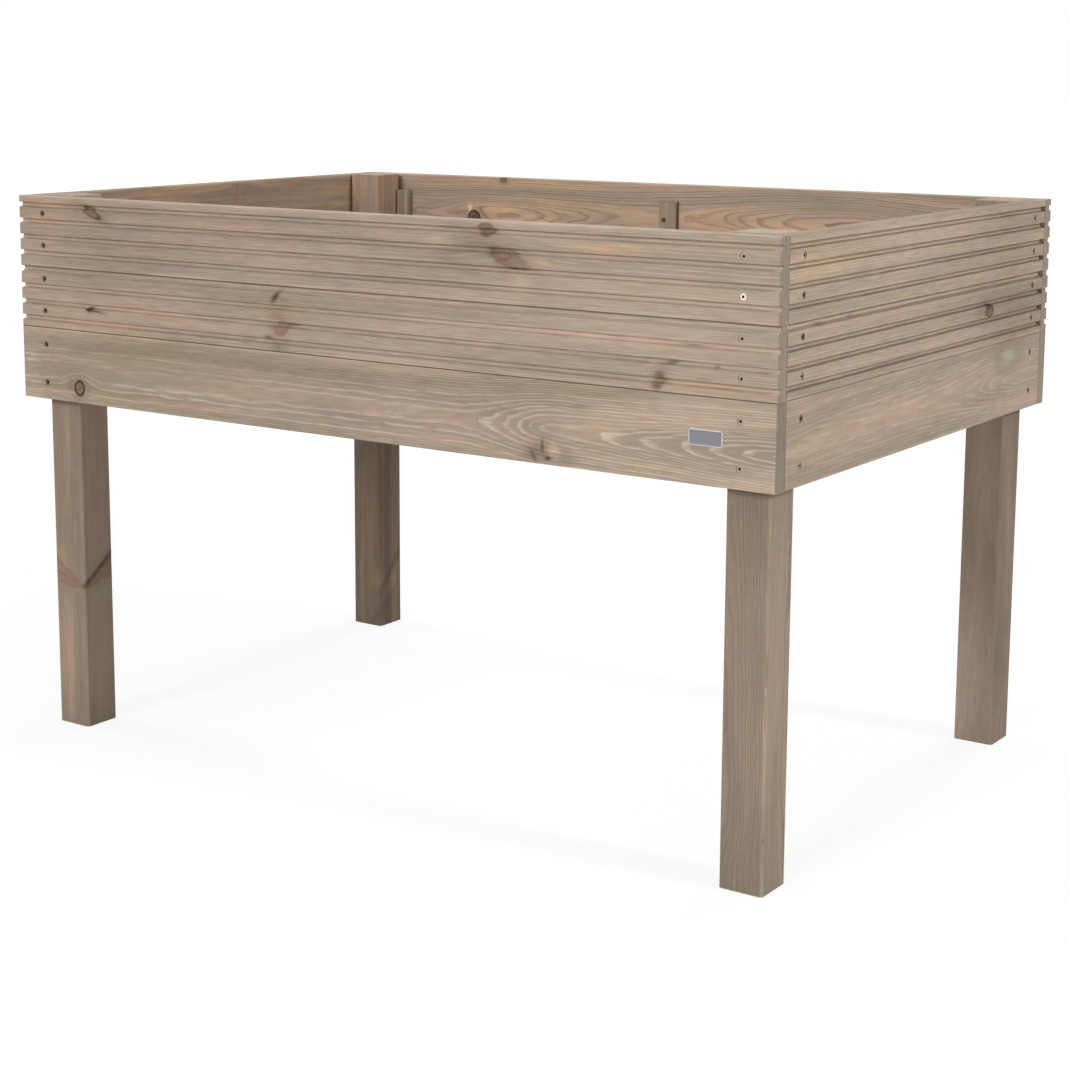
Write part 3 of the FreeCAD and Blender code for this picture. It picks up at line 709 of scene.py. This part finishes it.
# Pieces that the photo shows, with the knots and grain seen there
TIMBERS = {
    "front_top_board": Timber(
        # More pale on its edges, which paints a highlight along the rim
        pith=(0.16, 0.05), ring=0.0032, light=0.9, warm=0.2, olive=0.2, contrast=0.45, worn=0.5,
        knots=[Knot(-0.458, 0.030, 0.011, 0.008, -1.6, 0.0, 0.9, 0.15, 0.8),
               Knot(0.206, 0.039, 0.011, 0.008, 0.0, 0.0, 1.0, 0.1, 0.4),
               Knot(0.238, 0.006, 0.020, 0.013, -1.3, 0.0, 0.9, 0.5, 0.3)],
        patches=[Patch(-0.555, 0.030, 0.060, 0.030, 0.6), Patch(0.370, 0.0225, 0.060, 0.007, 0.8, -0.05),
                 Patch(0.132, 0.0225, 0.026, 0.006, 0.9, 0.08), Patch(0.285, 0.004, 0.014, 0.007, 0.8),
                 Patch(-0.200, 0.022, 0.120, 0.006, 0.4), Patch(0.170, 0.020, 0.040, 0.030, -0.7),
                 Patch(-0.400, -0.020, 0.150, 0.030, -0.4), Patch(0.255, -0.016, 0.016, 0.018, 0.1, 0.15),
                 Patch(-0.471, 0.036, 0.006, 0.003, smear=0.6), Patch(-0.446, 0.023, 0.004, 0.003, smear=0.6),
                 Patch(0.215, 0.012, 0.010, 0.008, smear=0.45, lean=-1.0),
                 Patch(0.247, -0.006, 0.018, 0.0018, smear=0.7, lean=-1.0),
                 # Tone and painted light: lighter towards the right end and darker towards the left, and
                 # painted light on the rim top
                 Patch(0.480, -0.010, 0.280, 0.080, gain=0.17),
                 Patch(-0.400, 0.025, 0.450, 0.030, gain=-0.13),
                 Patch(0.0, 0.052, 2.000, 0.004, gain=0.2)]),
    "front_middle_board": Timber(
        pith=(-0.15, 0.04), ring=0.0032, light=0.93, warm=0.15, contrast=0.45,
        knots=[Knot(-0.118, -0.012, 0.011, 0.010, 0.2, 0.0, 0.8, 0.6, 0.3),
               Knot(-0.123, 0.008, 0.010, 0.010, 0.2, 0.0, 0.35, 0.9, 0.0),
               Knot(0.447, -0.030, 0.008, 0.011, 0.3, 0.0, 0.7, 0.5, 0.2)],
        patches=[Patch(0.170, 0.030, 0.150, 0.014, -0.8), Patch(-0.450, -0.020, 0.150, 0.030, 0.4),
                 Patch(0.520, -0.035, 0.100, 0.008, 0.5), Patch(-0.280, -0.020, 0.080, 0.006, 0.5),
                 Patch(-0.127, 0.028, 0.0048, 0.008, smear=1.3, lean=0.7),
                 Patch(-0.101, -0.006, 0.010, 0.0018, smear=0.8),
                 Patch(-0.140, -0.0255, 0.007, 0.003, smear=0.9),
                 Patch(-0.124, -0.038, 0.016, 0.004, smear=0.4),
                 Patch(-0.467, -0.0118, 0.006, 0.0042, smear=1.1),
                 Patch(-0.453, -0.0132, 0.014, 0.0024, smear=1.0, lean=-3.5),
                 Patch(0.446, -0.037, 0.005, 0.004, smear=0.7), Patch(0.450, -0.025, 0.006, 0.004, smear=0.7),
                 Patch(0.463, -0.008, 0.009, 0.0022, smear=0.9, lean=1.5),
                 Patch(0.490, 0.0135, 0.016, 0.0015, smear=0.6),
                 Patch(0.521, -0.009, 0.004, 0.002, smear=0.7),
                 # Tone and painted light: lighter towards the right end and darker towards the left
                 Patch(0.400, 0.0, 0.350, 0.200, gain=0.13), Patch(-0.450, 0.0, 0.300, 0.200, gain=-0.08)]),
    "front_lower_board": Timber(
        pith=(-0.008, 0.030), wander=0.008, ring=0.0025, light=0.91, warm=0.4, olive=1.2, contrast=0.8,
        end_light=0.82,
        swells=[Swell(0.310, 0.080, 0.900, 0.013), Swell(0.640, 0.170, 0.100, 0.016)],
        knots=[Knot(-0.490, -0.030, 0.009, 0.010, 0.0, 0.0, 1.0, 0.0, 1.0),
               Knot(0.298, -0.034, 0.010, 0.009, 0.0, 0.0, 0.3, 0.3, 0.2)],
        patches=[Patch(-0.585, 0.0, 0.020, 0.050, 0.6), Patch(-0.380, 0.010, 0.240, 0.070, -1.0, 0.12),
                 # Tone and painted light: lighter towards the right end
                 Patch(0.520, 0.0, 0.250, 0.200, gain=0.12),
                 Patch(0.030, -0.012, 0.030, 0.006, 0.8), Patch(0.155, -0.008, 0.040, 0.010, 0.8),
                 Patch(-0.100, 0.030, 0.250, 0.020, -0.6), Patch(0.370, -0.005, 0.040, 0.012, 0.5),
                 Patch(0.303, -0.033, 0.008, 0.008, 0.3, 0.6), Patch(0.297, -0.043, 0.005, 0.003, smear=1.0),
                 Patch(0.280, -0.036, 0.018, 0.015, -0.6, smear=0.4, lean=0.5),
                 Patch(0.289, -0.028, 0.0022, 0.009, smear=0.6),
                 Patch(0.276, -0.042, 0.003, 0.009, smear=0.5, lean=-0.6),
                 Patch(0.322, -0.040, 0.014, 0.012, -0.6, smear=0.15),
                 Patch(-0.508, -0.024, 0.006, 0.012, smear=0.2),
                 Patch(-0.330, -0.022, 0.090, 0.008, 0.9, 0.04),
                 Patch(0.265, 0.005, 0.070, 0.030, gain=-0.07),
                 Patch(0.395, -0.008, 0.070, 0.016, gain=0.07)]),
    "right_top_board": Timber(
        # Its ledge shade paints shade on the ledges in its grooves
        pith=(0.12, 0.03), ring=0.0032, light=1.0, warm=0.15, contrast=0.45, worn=0.1, grime=0.46,
        # Stain and painted shade: the far end soaked olive and darker; painted shade on the rim top and
        # painted light at the near end
        patches=[Patch(-0.300, 0.022, 0.120, 0.020, 0.7), Patch(0.280, 0.0, 0.150, 0.100, -0.6, -0.06),
                 Patch(0.0, 0.052, 0.600, 0.004, gain=-0.42), Patch(-0.250, 0.0, 0.250, 0.200, gain=0.06)]),
    "right_middle_board": Timber(
        # Its ledge shade paints shade on the ledges in its grooves
        pith=(-0.1, -0.05), ring=0.0032, light=0.97, warm=0.1, contrast=0.5, grime=0.46,
        knots=[Knot(0.194, 0.0045, 0.012, 0.0075, 0.0, 0.0, 1.0, 0.1, 0.9)],
        # Stain and painted shade: the far end soaked olive and darker
        patches=[Patch(-0.330, 0.030, 0.050, 0.010, 0.5), Patch(0.280, 0.0, 0.150, 0.100, -0.6, -0.15),
                 Patch(0.165, 0.004, 0.020, 0.010, smear=0.25), Patch(0.190, 0.0095, 0.008, 0.003, smear=0.8),
                 Patch(0.193, 0.005, 0.010, 0.007, smear=0.35), Patch(-0.300, 0.036, 0.012, 0.002, smear=0.5),
                 Patch(-0.215, 0.037, 0.008, 0.002, smear=0.5)]),
    "right_lower_board": Timber(
        pith=(-0.004, -0.03), drift=(0.0, 0.01), ring=0.003, light=0.97, warm=0.2, olive=0.3, contrast=0.45,
        swells=[Swell(0.300, 0.180, 0.200, -0.010)],
        patches=[Patch(-0.050, 0.0, 0.050, 0.012, 0.5), Patch(0.266, 0.029, 0.046, 0.022, -2.6, 0.34),
                 # Stain and painted light and shade: the second patch soaks the near end and lightens it, the
                 # next darkens the far end
                 Patch(-0.200, 0.015, 0.120, 0.010, 0.3), Patch(-0.280, 0.0, 0.250, 0.100, -0.8, 0.11),
                 Patch(0.280, 0.0, 0.220, 0.200, gain=-0.08)]),
    "back_top_board": Timber(
        pith=(-0.005, 0.02), ring=0.0028, light=1.07, warm=0.8, pale_lines=0.1, contrast=0.95,
        swells=[Swell(0.300, 0.200, 0.120, 0.014), Swell(-0.330, 0.080, 0.160, 0.008)],
        knots=[Knot(-0.373, -0.017, 0.011, 0.010, 0.0, 0.0, 1.0, 0.0, 1.0),
               Knot(-0.314, 0.046, 0.006, 0.005, 0.0, 0.0, 1.0, 0.2, 0.6)],
        patches=[Patch(-0.440, 0.020, 0.080, 0.050, -0.6), Patch(-0.330, -0.005, 0.040, 0.012, 0.8),
                 Patch(0.200, -0.012, 0.120, 0.018, 0.7), Patch(0.200, 0.030, 0.300, 0.060, gain=0.13),
                 Patch(-0.100, 0.010, 0.100, 0.020, 0.4), Patch(0.260, 0.040, 0.030, 0.020, -0.8),
                 Patch(-0.381, -0.003, 0.004, 0.008, gain=1.0),
                 Patch(-0.373, -0.018, 0.009, 0.008, smear=0.9),
                 Patch(-0.345, -0.014, 0.024, 0.010, smear=0.28),
                 Patch(-0.402, -0.012, 0.018, 0.012, smear=0.22)]),
    "left_top_board": Timber(
        pith=(0.1, 0.04), light=0.71, warm=0.95, olive=0.7, pale_lines=0.1, contrast=0.25,
        knots=[Knot(0.040, 0.030, 0.012, 0.035, 0.3, 0.0, 0.6, 0.8, 0.2)],
        patches=[Patch(0.100, 0.030, 0.500, 0.200, 0.6, -0.1)]),
    "front_left_leg": Timber(
        # Its end light also paints the light on the top of the leg
        pith=(0.06, 0.07), light=0.72, warm=0.25, pale_lines=0.1, contrast=0.2, worn=0.1, end_light=1.4,
        knots=[Knot(-0.152, 0.0, 0.017, 0.2, -0.35, 0.5, 0.65, 0.6, 0.3, 14.0)],
        patches=[Patch(-0.280, -0.010, 0.090, 0.030, 0.6, 0.15),
                 Patch(-0.020, -0.010, 0.110, 0.040, 0.3, -0.12),
                 Patch(-0.140, -0.020, 0.020, 0.014, 0.9),
                 Patch(-0.154, 0.029, 0.005, 0.005, smear=0.8, lean_through=0.75),
                 Patch(-0.135, -0.029, 0.006, 0.012, smear=0.35, lean=-0.9),
                 # Painted light on the right face
                 Patch(0.0, 0.029, 0.800, 0.003, gain=0.36)]),
    "back_left_leg": Timber(
        # The whole leg made darker: painted shade, for the shade under the bed
        pith=(0.05, 0.05), light=0.48, warm=0.9, olive=0.2, pale_lines=0.1, contrast=0.15, worn=0.1,
        # Its end light also paints the light on the top of the leg
        end_light=1.4,
        # The top, inside the box, warmer and painted lighter again, and the top of its right face painted
        # darker
        patches=[Patch(0.370, 0.0, 0.080, 0.200, 0.5, 0.84), Patch(0.370, 0.029, 0.080, 0.003, 0.4, -0.48),
                 # First patch: painted shade on the right face
                 Patch(0.0, 0.029, 0.800, 0.003, gain=-0.2), Patch(-0.310, 0.022, 0.022, 0.010, 0.9, 0.12),
                 Patch(-0.290, 0.029, 0.009, 0.006, smear=0.5, lean_through=1.2),
                 Patch(-0.335, 0.024, 0.008, 0.008, smear=0.35, lean_through=1.0)]),
    "front_right_leg": Timber(
        pith=(-0.03, 0.035), drift=(0.0, 0.02), ring=0.0024, light=0.715, warm=0.12, pale_lines=0.15,
        # Its end light also paints the light on the top of the leg
        contrast=0.75, worn=0.15, end_light=1.73,
        swells=[Swell(-0.290, 0.050, 0.900, 0.006)],
        # Painted light on the right face
        patches=[Patch(0.0, 0.029, 0.800, 0.003, gain=0.16)]),
    "back_right_leg": Timber(
        pith=(0.02, 0.06), drift=(0.0, 0.02), light=0.93, warm=0.12, pale_lines=0.1, contrast=0.2, worn=0.2,
        # Its end light also paints the light on the top of the leg
        end_light=1.4,
        # The right face soaked olive and darker: stain, and painted shade
        patches=[Patch(0.0, 0.029, 0.800, 0.003, -0.4, -0.37), Patch(-0.330, 0.029, 0.120, 0.003, 0.3),
                 # Painted light on the upper part, where the bed's shadow falls, and painted shade low on the
                 # right face
                 Patch(-0.030, -0.010, 0.150, 0.040, gain=0.2),
                 Patch(-0.300, 0.029, 0.150, 0.003, gain=-0.07)]),
    "back_middle_cleat": Timber(
        light=1.0, warm=0.0, olive=0.3, pale_lines=0.1, contrast=0.2, worn=0.1,
        # Soaked olive all over, and painted shade on its right side face
        patches=[Patch(0.0, 0.0, 0.500, 0.200, -0.9), Patch(0.0, 0.0155, 2.0, 0.002, gain=-0.45)]),
    "back_left_batten": Timber(
        light=0.84, warm=0.0, olive=0.3, pale_lines=0.1, contrast=0.2, worn=0.3,
        patches=[Patch(0.0, 0.0, 0.500, 0.200, -0.7)]),
}


# What the pieces that the photo hides are drawn from: knots, with places as shares of length and width
HIDDEN_KNOTS = (0, 1, 1, 2)
HIDDEN_KNOT_HALF = (0.1, 0.16)
HIDDEN_KNOT_WIDEST = 0.09
HIDDEN_KNOT_ALONG = (-0.42, 0.42)
HIDDEN_KNOT_ACROSS = (-0.3, 0.3)
HIDDEN_KNOT_LONGER = (1.0, 1.5)
HIDDEN_KNOT_LEAN = (-0.6, 0.6)
HIDDEN_KNOT_STRENGTH = (0.6, 1.0)
HIDDEN_KNOT_RUST = (0.1, 0.9)
HIDDEN_KNOT_BARK = (0.2, 0.8)
# The place of the log's heart, its drift and its swells
HIDDEN_PITH_ACROSS = (-0.06, 0.06)
HIDDEN_PITH_THROUGH = (0.04, 0.08)
HIDDEN_DRIFT_ACROSS = (-0.03, 0.03)
HIDDEN_DRIFT_THROUGH = (-0.04, 0.04)
HIDDEN_SWELLS = 2
HIDDEN_SWELL_ALONG = (-0.4, 0.4)
HIDDEN_SWELL_BEFORE = (0.06, 0.2)
HIDDEN_SWELL_AFTER = (0.3, 0.9)
HIDDEN_SWELL_REACH = (-0.012, 0.012)
# Rings and stain
HIDDEN_RING = (0.0026, 0.004)
HIDDEN_LIGHT = (0.9, 1.0)
HIDDEN_WARM = (0.15, 0.4)
HIDDEN_PALE_LINES = (0.1, 0.95)
HIDDEN_CONTRAST = (0.2, 0.4)


def plain_knot(draw, length, width):
    """A knot somewhere on a piece of that length and width."""
    half = draw.uniform(*HIDDEN_KNOT_HALF) * min(width, HIDDEN_KNOT_WIDEST)
    return Knot(along=draw.uniform(*HIDDEN_KNOT_ALONG) * length,
                across=draw.uniform(*HIDDEN_KNOT_ACROSS) * width,
                half_along=half * draw.uniform(*HIDDEN_KNOT_LONGER),
                half_across=half,
                lean_across=draw.uniform(*HIDDEN_KNOT_LEAN),
                strength=draw.uniform(*HIDDEN_KNOT_STRENGTH),
                rust=draw.uniform(*HIDDEN_KNOT_RUST),
                bark=draw.uniform(*HIDDEN_KNOT_BARK))


def plain_swell(draw, length):
    """A swell of the log's heart somewhere along a piece of that length."""
    return Swell(along=draw.uniform(*HIDDEN_SWELL_ALONG) * length,
                 half_before=draw.uniform(*HIDDEN_SWELL_BEFORE),
                 half_after=draw.uniform(*HIDDEN_SWELL_AFTER),
                 reach=draw.uniform(*HIDDEN_SWELL_REACH))


def plain_timber(name):
    """A piece that the photo hides, cut and stained like the others, with a knot or two of its own."""
    draw = random.Random(name + " cut")
    low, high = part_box(name)
    length, width, _ = sorted(high - low, reverse=True)
    knots = [plain_knot(draw, length, width) for _ in range(draw.choice(HIDDEN_KNOTS))]
    return Timber(pith=(draw.uniform(*HIDDEN_PITH_ACROSS),
                        draw.choice((-1, 1)) * draw.uniform(*HIDDEN_PITH_THROUGH)),
                  drift=(draw.uniform(*HIDDEN_DRIFT_ACROSS), draw.uniform(*HIDDEN_DRIFT_THROUGH)),
                  swells=[plain_swell(draw, length) for _ in range(HIDDEN_SWELLS)],
                  ring=draw.uniform(*HIDDEN_RING),
                  light=draw.uniform(*HIDDEN_LIGHT),
                  warm=draw.uniform(*HIDDEN_WARM),
                  pale_lines=draw.choice(HIDDEN_PALE_LINES),
                  contrast=draw.uniform(*HIDDEN_CONTRAST),
                  knots=knots)


SEAMS = {"top": (1.0, 0.0), "middle": (1.0, 1.0), "lower": (0.0, 1.0)}
SEAM_STRENGTH = {"front": 0.8, "back": 0.8, "left": 0.4, "right": 0.4}
END_SEAM_STRENGTH = {"front": 0.0, "back": 0.0, "left": 0.7, "right": 0.7}
OUTWARD = {"front": -1.0, "back": 1.0, "left": -1.0, "right": 1.0}


def timber_for(name):
    """The timber of a node; wall boards also get dirty joints, and the upper two grooves."""
    timber = TIMBERS.get(name) or plain_timber(name)
    if name.endswith("_board"):
        wall, level, _ = name.split("_")
        timber.seams = (END_SEAM_STRENGTH[wall], *[SEAM_STRENGTH[wall] * edge for edge in SEAMS[level]])
        timber.groove_side = 0.0 if level == "lower" else OUTWARD[wall]
    return timber


PLATE_CORNER = 0.003
PLATE_CORNER_STEPS = 8
PLATE_BEVEL = 0.0003
PLATE_BORDER = 0.0017
PLATE_SLOPE = 0.0005
PLATE_SINK = 0.0003
SHARP_ANGLE = 20.0


def plate_ring(middle, half, y, inset):
    """Points of a rounded rectangle that faces Y, drawn in by an inset."""
    radius = PLATE_CORNER - inset
    points = []
    for corner, (side_x, side_z) in enumerate(((1, 1), (-1, 1), (-1, -1), (1, -1))):
        centre_x = middle.x + side_x * (half.x - PLATE_CORNER)
        centre_z = middle.z + side_z * (half.z - PLATE_CORNER)
        for step in range(PLATE_CORNER_STEPS + 1):
            angle = math.pi / 2 * (corner + step / PLATE_CORNER_STEPS)
            points.append((centre_x + radius * math.cos(angle), y, centre_z + radius * math.sin(angle)))
    return points


def build_plate(material):
    """The blank plate with a raised border, in the place of its plain solid."""
    low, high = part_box("blank_plate")
    middle = (low + high) / 2
    half = (high - low) / 2
    flat = PLATE_BEVEL + PLATE_BORDER
    rings = ((high.y, 0.0), (low.y + PLATE_BEVEL, 0.0), (low.y, PLATE_BEVEL), (low.y, flat),
             (low.y + PLATE_SINK, flat + PLATE_SLOPE))
    made = bmesh.new()
    loops = [[made.verts.new(point) for point in plate_ring(middle, half, *ring)] for ring in rings]
    for outer, inner in zip(loops, loops[1:]):
        for step in range(len(outer)):
            after = (step + 1) % len(outer)
            made.faces.new((outer[step], outer[after], inner[after], inner[step]))
    made.faces.new(loops[0])
    made.faces.new(loops[-1])
    bmesh.ops.recalc_face_normals(made, faces=made.faces)
    mesh = bpy.data.meshes.new("bordered_plate")
    made.to_mesh(mesh)
    made.free()
    mesh.shade_smooth()
    mesh.set_sharp_from_angle(angle=math.radians(SHARP_ANGLE))
    plate = bpy.data.objects.new("bordered_plate", mesh)
    bpy.context.scene.collection.objects.link(plate)
    give(plate, material)
    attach(plate, "root")
    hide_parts("blank_plate")


satin = plate_material()
for name, node in nodes.items():
    if name.endswith("_screws"):
        give(node, screw_material(name))
    elif name == "blank_plate":
        give(node, satin)
    else:
        give(node, wood_material(name, timber_for(name)))
build_plate(satin)


FLOOR_REACH = 40.0
FLOOR_SEEN = 0.16
FLOOR_GLOW = 0.84
FLOOR_BOUNCE = 0.62
SKY_LIGHT = 0.48
BED_MIDDLE = Vector((0.0, 0.0, 0.55))
SUN_DISTANCE = 4.0
# Soft suns: name, bearing from the front towards the right, height, strength and spread
SUNS = (
    ("front_sun", -3.0, 22.4, 1.55, 14.0),
    ("right_sun", 95.0, 30.0, 1.55, 10.0),
    ("back_sun", 175.0, 28.0, 1.1, 20.0),
    ("left_sun", -88.0, 30.0, 1.0, 20.0),
)


def seen_directly(g):
    """1 for what the camera sees, also in a reflection or through glass, and 0 for light on the object."""
    ray = g.node("ShaderNodeLightPath").outputs
    direct = g.math("MAXIMUM", ray["Is Camera Ray"], ray["Is Glossy Ray"])
    return g.math("MAXIMUM", direct, ray["Is Transmission Ray"])


def build_floor():
    """A white floor that keeps the shadows and throws little light back up."""
    mesh = bpy.data.meshes.new("floor")
    made = bmesh.new()
    bmesh.ops.create_grid(made, x_segments=1, y_segments=1, size=FLOOR_REACH)
    made.to_mesh(mesh)
    made.free()
    floor = bpy.data.objects.new("floor", mesh)
    bpy.context.scene.collection.objects.link(floor)
    material = bpy.data.materials.new("pale_floor")
    material.use_nodes = True
    tree = material.node_tree
    tree.nodes.clear()
    g = Graph(tree)
    seen = seen_directly(g)
    level = g.add(g.times(seen, FLOOR_SEEN - FLOOR_BOUNCE), FLOOR_BOUNCE)
    diffuse = g.node("ShaderNodeBsdfDiffuse", {"Color": g.tint(WHITE[:3], level)})
    glow = g.node("ShaderNodeEmission", {"Color": WHITE, "Strength": g.times(seen, FLOOR_GLOW)})
    both = g.node("ShaderNodeAddShader", {0: diffuse.outputs[0], 1: glow.outputs[0]})
    output = g.node("ShaderNodeOutputMaterial")
    g.feed(output.inputs["Surface"], both.outputs[0])
    floor.data.materials.append(material)


def add_sun(name, bearing, height, strength, spread):
    """A sun that shines on the bed from a bearing and a height above the floor."""
    flat = math.cos(math.radians(height))
    way = Vector((flat * math.sin(math.radians(bearing)), -flat * math.cos(math.radians(bearing)),
                  math.sin(math.radians(height))))
    lamp = bpy.data.lights.new(name, "SUN")
    lamp.energy = strength
    lamp.angle = math.radians(spread)
    holder = bpy.data.objects.new(name, lamp)
    holder.location = BED_MIDDLE + way * SUN_DISTANCE
    holder.rotation_euler = way.to_track_quat("Z", "Y").to_euler()
    bpy.context.scene.collection.objects.link(holder)


def build_light():
    """An even sky, seen as plain white, and a soft sun on each side."""
    world = bpy.data.worlds.new("studio")
    bpy.context.scene.world = world
    world.use_nodes = True
    tree = world.node_tree
    tree.nodes.clear()
    g = Graph(tree)
    lit = g.node("ShaderNodeBackground", {"Color": WHITE, "Strength": SKY_LIGHT})
    backdrop = g.node("ShaderNodeBackground", {"Color": WHITE, "Strength": 1.0})
    chosen = g.node("ShaderNodeMixShader", {0: seen_directly(g), 1: lit.outputs[0], 2: backdrop.outputs[0]})
    output = g.node("ShaderNodeOutputWorld")
    g.feed(output.inputs["Surface"], chosen.outputs[0])
    for sun in SUNS:
        add_sun(*sun)


CAMERA_PLACE = (1.675, -2.463, 0.958)
CAMERA_YAW = -35.27
CAMERA_PITCH = -9.25
CAMERA_ROLL = 0.11
IMAGE_WIDTH = 1070
FOCAL_PIXELS = 2125
SENSOR_WIDTH = 36.0
CAMERA_SHIFT = (0.04, -0.12)


def build_camera():
    """The camera at the photo's place; yaw is from +Y towards +X, and pitch is above the horizon."""
    data = bpy.data.cameras.new("camera")
    data.sensor_width = SENSOR_WIDTH
    data.lens = FOCAL_PIXELS / IMAGE_WIDTH * SENSOR_WIDTH
    data.shift_x, data.shift_y = CAMERA_SHIFT
    yaw = math.radians(CAMERA_YAW)
    pitch = math.radians(CAMERA_PITCH)
    forward = Vector((math.cos(pitch) * math.sin(yaw), math.cos(pitch) * math.cos(yaw), math.sin(pitch)))
    right = Vector((math.cos(yaw), -math.sin(yaw), 0.0))
    up = right.cross(forward)
    turned = Matrix((right, up, -forward)).transposed()
    camera = bpy.data.objects.new("camera", data)
    camera.matrix_world = (Matrix.Translation(CAMERA_PLACE) @ turned.to_4x4()
                           @ Matrix.Rotation(math.radians(CAMERA_ROLL), 4, "Z"))
    bpy.context.scene.collection.objects.link(camera)
    bpy.context.scene.camera = camera


build_floor()
build_light()
build_camera()
bpy.context.scene.view_settings.view_transform = "Standard"
